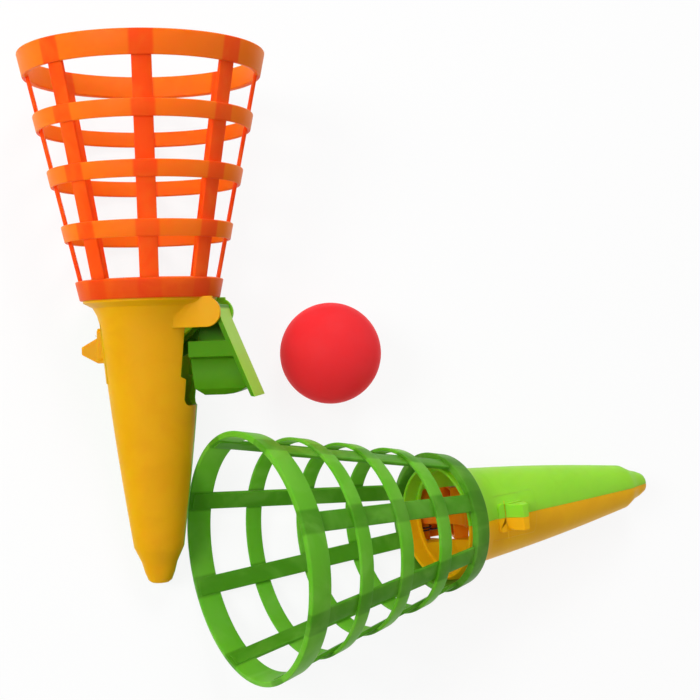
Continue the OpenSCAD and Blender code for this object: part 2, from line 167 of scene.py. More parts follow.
def new_group(name, kind, sockets_in, sockets_out):
    """A node group of that kind, with its named inputs and outputs, and its two end nodes."""
    group = bpy.data.node_groups.new(name, kind)
    for label, socket_kind, value in sockets_in:
        made = group.interface.new_socket(name=label, in_out="INPUT", socket_type=socket_kind)
        if value is not None:
            made.default_value = value
    for label, socket_kind in sockets_out:
        group.interface.new_socket(name=label, in_out="OUTPUT", socket_type=socket_kind)
    return group, group.nodes.new("NodeGroupInput"), group.nodes.new("NodeGroupOutput")


def colour_of(code):
    """A written screen colour such as E8A020 as the linear colour that shaders use."""
    parts = [int(code[i:i + 2], 16) / 255 for i in (0, 2, 4)]
    linear = [p / 12.92 if p < 0.04045 else ((p + 0.055) / 1.055) ** 2.4 for p in parts]
    return (*linear, 1)


print("helpers ready")

# %% [markdown]
# Nearly every piece here is moulded plastic with a faint gloss. Real mouldings are never quite even:
# the colour flows a little, the gloss is patchy where the mould was worn, and the flat faces sink by
# hundredths of a millimetre. One shader group makes these, and each material sets how much it has.
# A noise's scale is the number of its spots in a metre, so 130 gives soft spots 8 mm across.

# %% Shader group: the unevenness of moulded plastic
FLOW_LOW = 0.38
FLOW_HIGH = 0.72
FLOW_BEND = 1.2
PATCH_SCALE = 210.0
SINK_SCALE = 130.0
GRAIN_SCALE = 2600.0
GRAIN_SHARE = 0.06


def make_moulding_group():
    """The group that gives a colour, a roughness and a height to each point of a moulding."""
    group, start, end = new_group(
        "Moulded surface", "ShaderNodeTree",
        [("Vector", "NodeSocketVector", None), ("Colour", "NodeSocketColor", None),
         ("Flow Colour", "NodeSocketColor", None), ("Flow Scale", "NodeSocketFloat", 60.0),
         ("Flow Amount", "NodeSocketFloat", 0.3), ("Roughness", "NodeSocketFloat", 0.35),
         ("Patchiness", "NodeSocketFloat", 0.08)],
        [("Colour", "NodeSocketColor"), ("Roughness", "NodeSocketFloat"),
         ("Height", "NodeSocketFloat")])
    vector = start.outputs["Vector"]
    flow = add(group, "ShaderNodeTexNoise", None, {
        "Vector": vector, "Scale": start.outputs["Flow Scale"], "Detail": 3.0, "Distortion": FLOW_BEND})
    flow_mask = smooth_step(group, flow.outputs[0], FLOW_LOW, FLOW_HIGH)
    flow_amount = calculate(group, "MULTIPLY", flow_mask, start.outputs["Flow Amount"])
    patches = add(group, "ShaderNodeTexNoise", None,
                  {"Vector": vector, "Scale": PATCH_SCALE, "Detail": 4.0})
    centred = calculate(group, "SUBTRACT", patches.outputs[0], 0.5)
    patch_part = calculate(group, "MULTIPLY", centred, start.outputs["Patchiness"])
    sink = add(group, "ShaderNodeTexNoise", None, {"Vector": vector, "Scale": SINK_SCALE, "Detail": 1.0})
    grain = add(group, "ShaderNodeTexNoise", None,
                {"Vector": vector, "Scale": GRAIN_SCALE, "Detail": 2.0})
    grain_part = calculate(group, "MULTIPLY", grain.outputs[0], GRAIN_SHARE)
    colour = mix_colours(group, flow_amount, start.outputs["Colour"], start.outputs["Flow Colour"])
    rough = calculate(group, "ADD", start.outputs["Roughness"], patch_part)
    height = calculate(group, "ADD", sink.outputs[0], grain_part)
    group.links.new(colour, end.inputs["Colour"])
    group.links.new(rough, end.inputs["Roughness"])
    group.links.new(height, end.inputs["Height"])
    return group


MOULDING = make_moulding_group()
print("group:", MOULDING.name)

# %% [markdown]
# Where a basket's rib passes behind a band there are two layers of plastic and less light comes
# through, so the ribs and crossings are painted deeper in colour than the free lengths of band, as
# painted shade. The second group works this out in the launcher's own frame: how far a point is from
# the nearest rib, measured round the cone, and how high up the basket it is.

# %% Shader group: where the ribs of a basket are
RIB_COUNT = 8


def make_rib_group():
    """The group that gives 1 on a rib and 0 between ribs, and the height up the basket."""
    group, start, end = new_group(
        "Rib mask", "ShaderNodeTree",
        [("Vector", "NodeSocketVector", None), ("Rib Count", "NodeSocketFloat", float(RIB_COUNT)),
         ("Rib Turn", "NodeSocketFloat", 0.0), ("Rib Width", "NodeSocketFloat", 0.007),
         ("Softness", "NodeSocketFloat", 0.0013)],
        [("Rib", "NodeSocketFloat"), ("Height", "NodeSocketFloat")])
    split = add(group, "ShaderNodeSeparateXYZ", None, {0: start.outputs["Vector"]})
    angle = calculate(group, "ARCTAN2", split.outputs["Y"], split.outputs["X"])
    turned = calculate(group, "SUBTRACT", angle, start.outputs["Rib Turn"])
    half_step = calculate(group, "DIVIDE", math.pi, start.outputs["Rib Count"])
    from_rib = calculate(group, "PINGPONG", turned, half_step)
    across = calculate(group, "MULTIPLY", split.outputs["X"], split.outputs["X"])
    along = calculate(group, "MULTIPLY_ADD", split.outputs["Y"], split.outputs["Y"], across)
    radius = calculate(group, "SQRT", along)
    distance = calculate(group, "MULTIPLY", from_rib, radius)
    half_width = calculate(group, "MULTIPLY", start.outputs["Rib Width"], 0.5)
    edge = calculate(group, "ADD", half_width, start.outputs["Softness"])
    step = add(group, "ShaderNodeMapRange", {"interpolation_type": "SMOOTHSTEP"},
               {"Value": distance, 1: edge, 2: half_width, 3: 0.0, 4: 1.0})
    group.links.new(step.outputs["Result"], end.inputs["Rib"])
    group.links.new(split.outputs["Z"], end.inputs["Height"])
    return group


RIBS = make_rib_group()
print("group:", RIBS.name)

# %% [markdown]
# A material puts the groups together with one Principled shader. Numbers that are the same all over
# a piece, such as the gloss and how deep light goes into the plastic, are set on the shader itself.
# A little emission in the plastic's own colour is painted light: a glow that lightens shaded faces.

# %% Materials for the shells, triggers and ball
PLASTIC_IOR = 1.5
BUMP_DISTANCE = 0.4 * MM
LEAST_GLOW = 0.05
FACING_LOW = 0.25
FACING_HIGH = 0.75
EDGE_BLEND = 1.0 * MM


def start_material(name):
    """An empty material with its Principled shader. Returns the material, its tree and the shader."""
    material = bpy.data.materials.new(name)
    material.use_nodes = True
    return material, material.node_tree, material.node_tree.nodes["Principled BSDF"]


def own_vector(tree, place):
    """Object coordinates turned into a launcher's own frame, in metres."""
    inverse = place.inverted()
    coordinates = add(tree, "ShaderNodeTexCoord")
    mapped = add(tree, "ShaderNodeMapping", {"vector_type": "POINT"}, {
        "Vector": coordinates.outputs["Object"], "Location": inverse.translation,
        "Rotation": inverse.to_euler("XYZ")})
    return mapped.outputs["Vector"]


def finish_plastic(tree, shader, vector, colour, flow_colour, glow, roughness, flow_amount=0.3,
                   flow_scale=60.0, patchiness=0.08, gloss=0.06, sink=0.12, depth=1.2 * MM,
                   passing=0.0):
    """Feeds a shader from the moulding group, and sets what is even all over.

    glow is the colour that light takes on inside the plastic, and depth is how far it spreads there.
    sink is how strongly the faces sink. The last argument sets painted light: an emission in the
    plastic's own colour that makes it glow and lightens its shaded faces."""
    group = add(tree, "ShaderNodeGroup", {"node_tree": MOULDING}, {
        "Vector": vector, "Colour": colour, "Flow Colour": flow_colour, "Flow Amount": flow_amount,
        "Flow Scale": flow_scale, "Roughness": roughness, "Patchiness": patchiness})
    bump = add(tree, "ShaderNodeBump", None,
               {"Strength": sink, "Distance": BUMP_DISTANCE, "Height": group.outputs["Height"]})
    tree.links.new(group.outputs["Colour"], shader.inputs["Base Color"])
    tree.links.new(group.outputs["Roughness"], shader.inputs["Roughness"])
    tree.links.new(bump.outputs["Normal"], shader.inputs["Normal"])
    shader.inputs["IOR"].default_value = PLASTIC_IOR
    shader.inputs["Specular IOR Level"].default_value = gloss
    shader.inputs["Subsurface Weight"].default_value = 1.0
    shader.inputs["Subsurface Radius"].default_value = [max(part, LEAST_GLOW) for part in glow[:3]]
    shader.inputs["Subsurface Scale"].default_value = depth
    # Painted light: the surface glows in its own colour, which lightens its shade.
    shader.inputs["Emission Strength"].default_value = passing
    tree.links.new(group.outputs["Colour"], shader.inputs["Emission Color"])


def plastic(name, place, code, flow_code, roughness=0.38, **more):
    """Plain moulded plastic of one colour."""
    main, flow = colour_of(code), colour_of(flow_code)
    material, tree, shader = start_material(name)
    finish_plastic(tree, shader, own_vector(tree, place), main, flow, main, roughness, **more)
    return material


def painted_light_plastic(name, place, lit_direction, top, codes, roughness=0.38, **more):
    """Plastic painted deeper as painted shade, and lighter as painted light on outward faces.

    top is the height in the launcher's own frame above which nothing is lightened. codes: the
    painted shade colour, its flow, and the painted light colour of the faces that look outward."""
    painted_shade_colour, flow, light = [colour_of(code) for code in codes]
    material, tree, shader = start_material(name)
    coordinates = add(tree, "ShaderNodeTexCoord")
    along = add(tree, "ShaderNodeVectorMath", {"operation": "DOT_PRODUCT"},
                {0: coordinates.outputs["Normal"], 1: lit_direction})
    facing = smooth_step(tree, along.outputs["Value"], FACING_LOW, FACING_HIGH)
    vector = own_vector(tree, place)
    height = add(tree, "ShaderNodeSeparateXYZ", None, {0: vector}).outputs["Z"]
    below = calculate(tree, "SUBTRACT", 1.0, smooth_step(tree, height, top - EDGE_BLEND, top))
    # Painted light on faces that look outward and lie below the top; painted shade on all the rest.
    mask = calculate(tree, "MULTIPLY", facing, below)
    colour = mix_colours(tree, mask, painted_shade_colour, light)
    flow_colour = mix_colours(tree, mask, flow, light)
    finish_plastic(tree, shader, vector, colour, flow_colour, painted_shade_colour, roughness, **more)
    return material


print("plastic's index of refraction:", PLASTIC_IOR)

# %% [markdown]
# The steel pins and springs hardly show, but they are drawn wire, and drawing leaves fine grey
# streaks. A fine noise mixes two greys and roughens the steel a little where the streaks are.

# %% Steel
STREAK_SCALE = 1800.0
STREAK_ROUGHNESS = 0.2


def steel(name, code, roughness, line_code="8A8C90"):
    """Bare steel of one grey, with streaks of another."""
    material, tree, shader = start_material(name)
    coordinates = add(tree, "ShaderNodeTexCoord")
    lines = add(tree, "ShaderNodeTexNoise", None,
                {"Vector": coordinates.outputs["Object"], "Scale": STREAK_SCALE, "Detail": 3.0})
    shade = mix_colours(tree, lines.outputs[0], colour_of(code), colour_of(line_code))
    rough = calculate(tree, "MULTIPLY_ADD", lines.outputs[0], STREAK_ROUGHNESS, roughness)
    tree.links.new(shade, shader.inputs["Base Color"])
    tree.links.new(rough, shader.inputs["Roughness"])
    shader.inputs["Metallic"].default_value = 1.0
    return material


STEEL = steel("drawn steel", "C9CBCE", roughness=0.22)
SPRING_STEEL = steel("spring steel", "54565A", roughness=0.4, line_code="3C3E42")
print("materials:", STEEL.name, SPRING_STEEL.name)

# %% [markdown]
# The baskets get their own material, with painted shade: the ribs and crossings are painted deeper in
# colour. The base ring, the thickest stretch of the moulding, gets the deepest painted shade of all.

# %% Basket material
BASE_CLEAR = 9.5 * MM
BASE_FULL = 5.5 * MM
BASE_SHADE_SHARE = 0.75
BASKET_FLOW = 0.22


def basket_material(name, place, rib_turn, colours, roughness, passing):
    """colours: the free band, the ribs and crossings, the base ring, and the flow. The ribs,
    crossings and base ring are painted deeper, as painted shade.
    """
    band, rib, base, flow = [colour_of(code) for code in colours]
    material, tree, shader = start_material(name)
    vector = own_vector(tree, place)
    ribs = add(tree, "ShaderNodeGroup", {"node_tree": RIBS},
               {"Vector": vector, "Rib Count": RIB_COUNT, "Rib Turn": math.radians(rib_turn)})
    # Painted shade: ribs and crossings take the deeper rib colour.
    rib_shaded_colour = mix_colours(tree, ribs.outputs["Rib"], band, rib)
    # Painted shade: the base ring is painted deeper still.
    base_shade_amount = add(tree, "ShaderNodeMapRange", {"interpolation_type": "SMOOTHSTEP"}, {
        "Value": ribs.outputs["Height"], 1: BASE_CLEAR, 2: BASE_FULL, 3: 0.0, 4: BASE_SHADE_SHARE})
    colour = mix_colours(tree, base_shade_amount.outputs["Result"], rib_shaded_colour, base)
    finish_plastic(tree, shader, vector, colour, flow, flow, roughness,
                   flow_amount=BASKET_FLOW, passing=passing)
    return material


ORANGE_TURN = 14.5
GREEN_TURN = 20.5
# Both baskets also glow a little, as painted light.
BASKET_FINISHES = {
    "orange": basket_material("orange basket", PLACES["orange"], ORANGE_TURN,
                              ("FF7818", "FA5412", "DC4410", "FF8A26"),
                              roughness=0.4, passing=0.05),
    "green": basket_material("dark green basket", PLACES["green"], GREEN_TURN,
                             ("62AC26", "4C8E18", "427618", "92CC58"),
                             roughness=0.4, passing=0.1),
}
print("basket materials:", ", ".join(finish.name for finish in BASKET_FINISHES.values()))

# %% [markdown]
# A basket is a rule more than a shape: a cone, bands at even steps, and ribs at even turns behind
# them. That is what Geometry Nodes are for. One band is a rounded oblong swept round a circle. The
# same small tree makes the base ring, each of the three middle bands and the rim, from named sizes.

# %% Geometry Nodes: one band of the cone
EDGE_STEPS = 3


def make_band_tree():
    """The tree for one band: its sizes go in, and a closed ring that follows the cone comes out."""
    tree, start, end = new_group(
        "Cone band", "GeometryNodeTree",
        [("Base Radius", "NodeSocketFloat", 0.0258), ("Rim Radius", "NodeSocketFloat", 0.0455),
         ("Basket Height", "NodeSocketFloat", 0.0905), ("Bottom", "NodeSocketFloat", 0.0),
         ("Band Height", "NodeSocketFloat", 0.006), ("Wall", "NodeSocketFloat", 0.0013),
         ("Edge Radius", "NodeSocketFloat", 0.0004), ("Steps Round", "NodeSocketInt", 128)],
        [("Geometry", "NodeSocketGeometry")])
    sizes = start.outputs
    widening = calculate(tree, "SUBTRACT", sizes["Rim Radius"], sizes["Base Radius"])
    flare = calculate(tree, "DIVIDE", widening, sizes["Basket Height"])
    middle = calculate(tree, "MULTIPLY_ADD", sizes["Band Height"], 0.5, sizes["Bottom"])
    outer = calculate(tree, "MULTIPLY_ADD", flare, middle, sizes["Base Radius"])
    radius = calculate(tree, "MULTIPLY_ADD", sizes["Wall"], -0.5, outer)
    slant = calculate(tree, "ARCTANGENT", flare)
    circle = add(tree, "GeometryNodeCurvePrimitiveCircle", {"mode": "RADIUS"},
                 {"Resolution": sizes["Steps Round"], "Radius": radius})
    lean = calculate(tree, "COSINE", slant)
    length = calculate(tree, "DIVIDE", sizes["Band Height"], lean)
    oblong = add(tree, "GeometryNodeCurvePrimitiveQuadrilateral", {"mode": "RECTANGLE"},
                 {"Width": sizes["Wall"], "Height": length})
    rounded = add(tree, "GeometryNodeFilletCurve", {"mode": "POLY"},
                  {"Curve": oblong.outputs[0], "Count": EDGE_STEPS, "Radius": sizes["Edge Radius"]})
    tip = add(tree, "ShaderNodeCombineXYZ", None, {"Z": slant})
    tipped = add(tree, "GeometryNodeTransform", None,
                 {"Geometry": rounded.outputs[0], "Rotation": tip.outputs[0]})
    swept = add(tree, "GeometryNodeCurveToMesh", None,
                {"Curve": circle.outputs[0], "Profile Curve": tipped.outputs[0]})
    lift = add(tree, "ShaderNodeCombineXYZ", None, {"Z": middle})
    placed = add(tree, "GeometryNodeTransform", None,
                 {"Geometry": swept.outputs[0], "Translation": lift.outputs[0]})
    tree.links.new(placed.outputs[0], end.inputs[0])
    return tree


BAND_TREE = make_band_tree()
print("tree:", BAND_TREE.name)

# %% [markdown]
# A rib is a flat bar swept up a straight line and then laid on the cone: its sideways measure turns
# into an angle and its thickness into a radius. Eight copies are instanced round the axis, made real
# and joined to the bands. The tree ends with Realize Instances and Set Material.

# %% Geometry Nodes: the whole basket
RIM_THINNER = 0.5 * MM
RIB_INSET = 1.0 * MM
RIB_SINK = 0.1 * MM
RIB_STEPS = 24
BAR_CUTS = 2


def make_basket_tree():
    """The tree for a basket: bands joined to ribs, which start and end inside the end bands."""
    tree, start, end = new_group(
        "Lattice basket", "GeometryNodeTree",
        [("Geometry", "NodeSocketGeometry", None), ("Base Radius", "NodeSocketFloat", 0.0258),
         ("Rim Radius", "NodeSocketFloat", 0.0455), ("Basket Height", "NodeSocketFloat", 0.0905),
         ("Base Band", "NodeSocketFloat", 0.007), ("Ring Band", "NodeSocketFloat", 0.006),
         ("Rim Band", "NodeSocketFloat", 0.0086), ("Ring Count", "NodeSocketInt", 3),
         ("Rib Count", "NodeSocketInt", RIB_COUNT), ("Rib Turn", "NodeSocketFloat", 0.0),
         ("Rib Width", "NodeSocketFloat", 0.0072), ("Rib Narrowing", "NodeSocketFloat", 0.92),
         ("Outer Wall", "NodeSocketFloat", 0.0013), ("Inner Wall", "NodeSocketFloat", 0.0014),
         ("Edge Radius", "NodeSocketFloat", 0.0004), ("Material", "NodeSocketMaterial", None)],
        [("Geometry", "NodeSocketGeometry")])
    sizes = start.outputs
    cone = {key: sizes[key] for key in ("Base Radius", "Rim Radius", "Basket Height", "Edge Radius")}

    def band(bottom, height, wall):
        """One band of this basket's cone, from the height called bottom."""
        made = add(tree, "GeometryNodeGroup", {"node_tree": BAND_TREE},
                   {**cone, "Bottom": bottom, "Band Height": height, "Wall": wall})
        return made.outputs[0]

    both_walls = calculate(tree, "ADD", sizes["Outer Wall"], sizes["Inner Wall"])
    join = add(tree, "GeometryNodeJoinGeometry")
    tree.links.new(band(0.0, sizes["Base Band"], both_walls), join.inputs[0])
    rim_bottom = calculate(tree, "SUBTRACT", sizes["Basket Height"], sizes["Rim Band"])
    rim_wall = calculate(tree, "SUBTRACT", both_walls, RIM_THINNER)
    tree.links.new(band(rim_bottom, sizes["Rim Band"], rim_wall), join.inputs[0])

    ring_total = calculate(tree, "MULTIPLY", sizes["Ring Band"], sizes["Ring Count"])
    between = calculate(tree, "SUBTRACT", rim_bottom, sizes["Base Band"])
    free = calculate(tree, "SUBTRACT", between, ring_total)
    window_count = calculate(tree, "ADD", sizes["Ring Count"], 1.0)
    window = calculate(tree, "DIVIDE", free, window_count)
    pitch = calculate(tree, "ADD", window, sizes["Ring Band"])
    first = calculate(tree, "ADD", sizes["Base Band"], window)
    repeat_in = tree.nodes.new("GeometryNodeRepeatInput")
    repeat_out = tree.nodes.new("GeometryNodeRepeatOutput")
    repeat_in.pair_with_output(repeat_out)
    repeat_out.repeat_items.new("FLOAT", "Step")
    tree.links.new(sizes["Ring Count"], repeat_in.inputs["Iterations"])
    ring_bottom = calculate(tree, "MULTIPLY_ADD", repeat_in.outputs["Step"], pitch, first)
    ring_join = add(tree, "GeometryNodeJoinGeometry")
    tree.links.new(repeat_in.outputs["Geometry"], ring_join.inputs[0])
    tree.links.new(band(ring_bottom, sizes["Ring Band"], sizes["Outer Wall"]), ring_join.inputs[0])
    tree.links.new(ring_join.outputs[0], repeat_out.inputs["Geometry"])
    tree.links.new(calculate(tree, "ADD", repeat_in.outputs["Step"], 1.0), repeat_out.inputs["Step"])
    tree.links.new(repeat_out.outputs["Geometry"], join.inputs[0])

    low = calculate(tree, "SUBTRACT", sizes["Base Band"], RIB_INSET)
    high = calculate(tree, "SUBTRACT", sizes["Basket Height"], RIB_INSET)
    foot = add(tree, "ShaderNodeCombineXYZ", None, {"Z": low})
    head = add(tree, "ShaderNodeCombineXYZ", None, {"Z": high})
    line = add(tree, "GeometryNodeCurvePrimitiveLine", None,
               {"Start": foot.outputs[0], "End": head.outputs[0]})
    steps = add(tree, "GeometryNodeResampleCurve", {"mode": "COUNT"},
                {"Curve": line.outputs[0], "Count": RIB_STEPS})
    part = add(tree, "GeometryNodeSplineParameter")
    taper = add(tree, "ShaderNodeMapRange", None,
                {"Value": part.outputs["Factor"], 3: 1.0, 4: sizes["Rib Narrowing"]})
    tapered = add(tree, "GeometryNodeSetCurveRadius", None,
                  {"Curve": steps.outputs[0], "Radius": taper.outputs["Result"]})
    bar = add(tree, "GeometryNodeCurvePrimitiveQuadrilateral", {"mode": "RECTANGLE"},
              {"Width": sizes["Rib Width"], "Height": sizes["Inner Wall"]})
    round_bar = add(tree, "GeometryNodeFilletCurve", {"mode": "POLY"},
                    {"Curve": bar.outputs[0], "Count": EDGE_STEPS, "Radius": sizes["Edge Radius"]})
    fine_bar = add(tree, "GeometryNodeSubdivideCurve", None,
                   {"Curve": round_bar.outputs[0], "Cuts": BAR_CUTS})
    upright = add(tree, "GeometryNodeCurveToMesh", None, {
        "Curve": tapered.outputs[0], "Profile Curve": fine_bar.outputs[0], "Fill Caps": True})
    position = add(tree, "GeometryNodeInputPosition")
    flat = add(tree, "ShaderNodeSeparateXYZ", None, {0: position.outputs[0]})
    widening = calculate(tree, "SUBTRACT", sizes["Rim Radius"], sizes["Base Radius"])
    flare = calculate(tree, "DIVIDE", widening, sizes["Basket Height"])
    outer = calculate(tree, "MULTIPLY_ADD", flare, flat.outputs["Z"], sizes["Base Radius"])
    wall_middle = calculate(tree, "MULTIPLY_ADD", sizes["Inner Wall"], -0.5, outer)
    step_in = calculate(tree, "SUBTRACT", sizes["Outer Wall"], RIB_SINK)
    behind = calculate(tree, "SUBTRACT", wall_middle, step_in)
    radius = calculate(tree, "ADD", behind, flat.outputs["Y"])
    angle = calculate(tree, "DIVIDE", flat.outputs["X"], outer)
    laid = add(tree, "ShaderNodeCombineXYZ", None, {
        "X": calculate(tree, "MULTIPLY", radius, calculate(tree, "COSINE", angle)),
        "Y": calculate(tree, "MULTIPLY", radius, calculate(tree, "SINE", angle)),
        "Z": flat.outputs["Z"]})
    rib = add(tree, "GeometryNodeSetPosition", None,
              {"Geometry": upright.outputs[0], "Position": laid.outputs[0]})
    points = add(tree, "GeometryNodePoints", None, {"Count": sizes["Rib Count"]})
    index = add(tree, "GeometryNodeInputIndex")
    share = calculate(tree, "DIVIDE", index.outputs[0], sizes["Rib Count"])
    facing = calculate(tree, "MULTIPLY_ADD", share, 2 * math.pi, sizes["Rib Turn"])
    spin = add(tree, "ShaderNodeCombineXYZ", None, {"Z": facing})
    ribs = add(tree, "GeometryNodeInstanceOnPoints", None,
               {"Points": points.outputs[0], "Instance": rib.outputs[0], "Rotation": spin.outputs[0]})
    tree.links.new(ribs.outputs[0], join.inputs[0])

    real = add(tree, "GeometryNodeRealizeInstances", None, {0: join.outputs[0]})
    smooth = add(tree, "GeometryNodeSetShadeSmooth", None, {"Geometry": real.outputs[0]})
    dressed = add(tree, "GeometryNodeSetMaterial", None,
                  {"Geometry": smooth.outputs[0], "Material": sizes["Material"]})
    tree.links.new(dressed.outputs[0], end.inputs[0])
    return tree


BASKET_TREE = make_basket_tree()
print("tree:", BASKET_TREE.name, "with", len(BASKET_TREE.nodes), "nodes")

# %% [markdown]
# A tree becomes a piece through a modifier. Its inputs are set by each socket's identifier. The
# evaluated object is then turned into a plain mesh. A second helper places any finished mesh on the
# table, hangs it on its body and hides the solid that it takes the place of.

# %% Turn a tree into a plain piece


def grow(name, tree, values, source=None):
    """Runs a Geometry Nodes tree with named values and returns a plain mesh object."""
    mesh = source or bpy.data.meshes.new(name + " seed")
    seed = bpy.data.objects.new(name + " seed", mesh)
    scene.collection.objects.link(seed)
    modifier = seed.modifiers.new("grow", "NODES")
    modifier.node_group = tree
    sockets = {item.name: item.identifier
               for item in tree.interface.items_tree if item.in_out == "INPUT"}
    for key, value in values.items():
        modifier[sockets[key]] = value
    graph = bpy.context.evaluated_depsgraph_get()
    grown = bpy.data.meshes.new_from_object(seed.evaluated_get(graph), depsgraph=graph)
    bpy.data.objects.remove(seed)
    piece = bpy.data.objects.new(name, grown)
    scene.collection.objects.link(piece)
    return piece


def settle(piece, place, body, node, lever=None):
    """Places a piece's mesh on the table, hangs it on its body and hides the solid it replaces.

    A piece given a lever isn't hung on a body: its place is baked into its mesh."""
    piece.data.transform(place)
    if lever:
        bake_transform(piece)
    else:
        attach(piece, body)
    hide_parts(node)
    print(piece.name, len(piece.data.polygons), "faces")


print("ready to grow")

# %% [markdown]
# In the photograph the ribs of the two baskets don't start at the same place: each basket was pushed
# on its collar with a turn of its own. That turn is the only size in which they differ.

# %% Make both baskets
for colour, turn_degrees in (("orange", ORANGE_TURN), ("green", GREEN_TURN)):
    basket = grow(f"{colour}_lattice", BASKET_TREE,
                  {"Rib Turn": math.radians(turn_degrees), "Material": BASKET_FINISHES[colour]})
    settle(basket, PLACES[colour], f"{colour}_launcher", f"{colour}_basket")

# %% [markdown]
# The handle shells and triggers are already right as solids, with their ears, windows and lugs, but
# a solid's edges are razor sharp and a mould's never are. So each gets a copy with its edges eased.
# The solid's mesh is loose triangles: the copy's doubles are merged, flat faces are made whole, and
# every edge sharper than a limit is bevelled. Weighted normals then keep the flat faces flat.

# %% Ease the edges of a moulded piece
MERGE = 0.002 * MM
FLAT = math.radians(0.3)
SHARP = math.radians(32)
BEVEL_STEPS = 2
BEVEL_ROUND = 0.5


def eased_copy(node, width, mend=None):
    """A plain mesh object like that node's solid, with its sharp edges rounded by width."""
    form = bmesh.new()
    form.from_mesh(frame["nodes"][node].data)
    bmesh.ops.remove_doubles(form, verts=form.verts, dist=MERGE)
    if mend:
        mend(form)
    bmesh.ops.dissolve_limit(form, angle_limit=FLAT, verts=form.verts, edges=form.edges)
    sharp = [edge for edge in form.edges if edge.is_manifold and edge.calc_face_angle() > SHARP]
    bmesh.ops.bevel(form, geom=sharp, offset=width, offset_type="OFFSET", segments=BEVEL_STEPS,
                    profile=BEVEL_ROUND, affect="EDGES", clamp_overlap=False, miter_outer="ARC")
    for face in form.faces:
        face.smooth = True
    mesh = bpy.data.meshes.new(node + " eased")
    form.to_mesh(mesh)
    form.free()
    mesh.set_sharp_from_angle(angle=SHARP)
    piece = bpy.data.objects.new(node + "_moulding", mesh)
    scene.collection.objects.link(piece)
    weighted = piece.modifiers.new("flat faces", "WEIGHTED_NORMAL")
    weighted.keep_sharp = True
    return piece


print("edges sharper than", round(math.degrees(SHARP)), "degrees are eased")

# %% [markdown]
# Behind each trigger's finger plate stands a thin web. In the solid it stops just short of the
# kicker's web and of the trough, and from the camera both gaps would show as hair lines of light. So
# three corners on each side of the copy's web are moved: the web then meets the kicker's, and its
# foot runs 3 mm down into the trough. The corners are given in millimetres, with the trigger out.

# %% Close the hair lines round the trigger's web
SQUEEZED = {"orange": 0.0, "green": 28.4283}
WEB_HALF = 0.85 * MM
WEB_MENDS = {
    (18.4, -11.27): (17.9, -11.92),
    (18.4, -15.6): (17.9, -18.6),
    (29.77, -15.6): (30.97, -18.6),
}
CORNER_REACH = 0.05 * MM


def trigger_place(colour):
    """The matrix from a launcher's own frame, with its trigger out, to where that trigger lies now."""
    hinge = Matrix.Translation((HINGE_X, 0, HINGE_Z))
    squeeze = Matrix.Rotation(math.radians(SQUEEZED[colour]), 4, "Y")
    return PLACES[colour] @ hinge @ squeeze @ hinge.inverted()


def close_web(colour):
    """Returns the change that moves the corners of the web behind the finger plate."""
    place = trigger_place(colour)
    inverse = place.inverted()

    def change(form):
        """Moves the corners in the mesh that is being edited."""
        moved = 0
        for vertex in form.verts:
            x, y, z = inverse @ vertex.co
            for (from_x, from_z), (to_x, to_z) in WEB_MENDS.items():
                near = max(abs(x - from_x * MM), abs(z - from_z * MM)) < CORNER_REACH
                if near and abs(y) < WEB_HALF:
                    vertex.co = place @ Vector((to_x * MM, y, to_z * MM))
                    moved += 1
        print(colour, "web: moved", moved, "corners")
    return change


print("corners to move:", len(WEB_MENDS), "on each side")

# %% [markdown]
# Each launcher swaps the colours of the other: yellow and light green halves, and a green trigger on
# the orange launcher but an orange one on the green launcher. The green trigger is painted a deep
# green as painted shade, and its faces that look outward, such as the finger plate's outer face, are
# painted lighter as painted light. Each finish is a colour and the slightly different colour that
# flows through it.

# %% Finishes of the handles and triggers
YELLOW = ("E9AE10", "DC980A")
LIME = ("9ADE3A", "88D02C")
TRIGGER_ORANGE = ("F28C14", "E87A0C")
# The green trigger's colours: a painted shade colour, its flow, and a painted light colour.
TRIGGER_GREEN_PAINTED_SHADE_AND_LIGHT = ("559410", "4A860C", "A9E84A")
# The green trigger's faces that look this way get painted light, and the rest get painted shade.
PAINTED_LIGHT_DIRECTION = PLACES["orange"].to_3x3() @ Vector((1, 0, 0.4)).normalized()
PLATE_TOP = -3.8 * MM
HANDLE_FINISHES = {
    "orange_yellow_shell": plastic("yellow shell", PLACES["orange"], *YELLOW),
    "orange_green_shell": plastic("light green shell", PLACES["orange"], *LIME),
    "orange_trigger": painted_light_plastic("green trigger", PLACES["orange"], PAINTED_LIGHT_DIRECTION, PLATE_TOP,
                                        TRIGGER_GREEN_PAINTED_SHADE_AND_LIGHT, gloss=0.03),
    "green_green_shell": plastic("light green shell two", PLACES["green"], *LIME),
    # Painted light: the second yellow shell glows a little, which lightens its shaded faces.
    "green_yellow_shell": plastic("yellow shell two", PLACES["green"], *YELLOW, passing=0.12),
    "green_trigger": plastic("orange trigger", PLACES["green"], *TRIGGER_ORANGE),
}
print("finishes:", ", ".join(finish.name for finish in HANDLE_FINISHES.values()))

# %% [markdown]
# Now each shell and trigger is made. The shells hang on the launcher's body, and the triggers on the
# lever that the hinge turns. Their solids already lie in place on the table, so they aren't moved.

# %% Handles and triggers
EASE = 0.25 * MM
NO_MOVE = Matrix.Identity(4)
for node_name, finish in HANDLE_FINISHES.items():
    colour = node_name.split("_")[0]
    is_trigger = node_name.endswith("trigger")
    moulding = eased_copy(node_name, EASE, close_web(colour) if is_trigger else None)
    moulding.data.materials.append(finish)
    settle(moulding, NO_MOVE, f"{colour}_lever" if is_trigger else f"{colour}_launcher", node_name)

# %% [markdown]
# The steel pins are already right as solids, so they stay and only get the steel.

# %% Pins
for node_name in ("orange_pin", "green_pin"):
    pin_mesh = frame["nodes"][node_name].data
    pin_mesh.materials.clear()
    pin_mesh.materials.append(STEEL)
    print(node_name, "is", STEEL.name)

